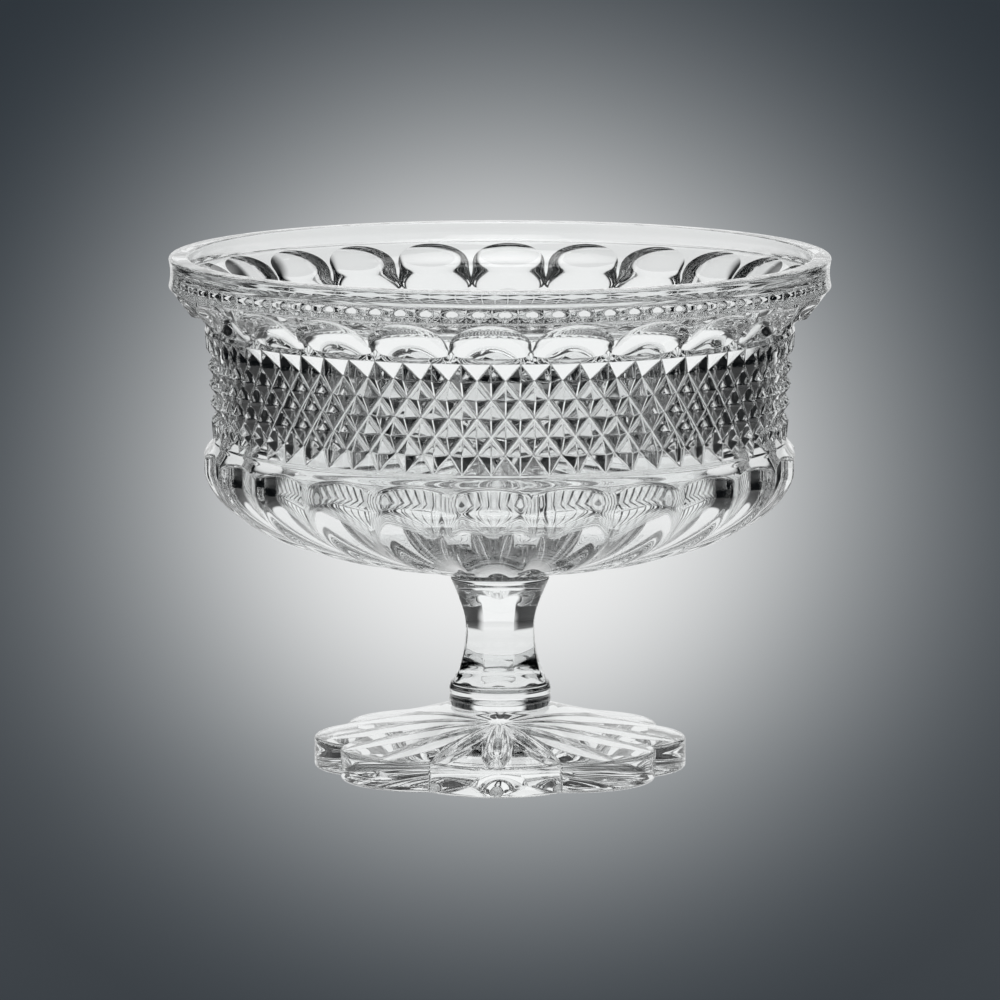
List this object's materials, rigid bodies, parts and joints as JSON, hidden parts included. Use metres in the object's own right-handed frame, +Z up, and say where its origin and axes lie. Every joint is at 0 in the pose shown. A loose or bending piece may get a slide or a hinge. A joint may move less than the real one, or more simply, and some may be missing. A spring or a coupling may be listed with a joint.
{
  "type": "footed glass bowl",
  "caption": "Footed crystal serving bowl: wide fluted and diamond-cut bowl with a flat lip, on a waisted octagonal stem and a petal-edged foot.",
  "frame": {"origin": "on the bowl's axis, at the flat resting face of the foot", "axes": "+Z up along the axis to the rim, -Y towards the front, where a thumbprint, a flute, a stem facet and a petal are centred"},
  "size_m": [0.2, 0.2, 0.1566],
  "materials": {
    "crystal": "fire-polished clear pressed crystal",
    "bond": "clear cured adhesive film"
  },
  "bodies": {
    "root": {"foot": "crystal", "lower_bond": "bond", "stem": "crystal", "upper_bond": "bond", "bowl": "crystal"}
  },
  "joints": []
}
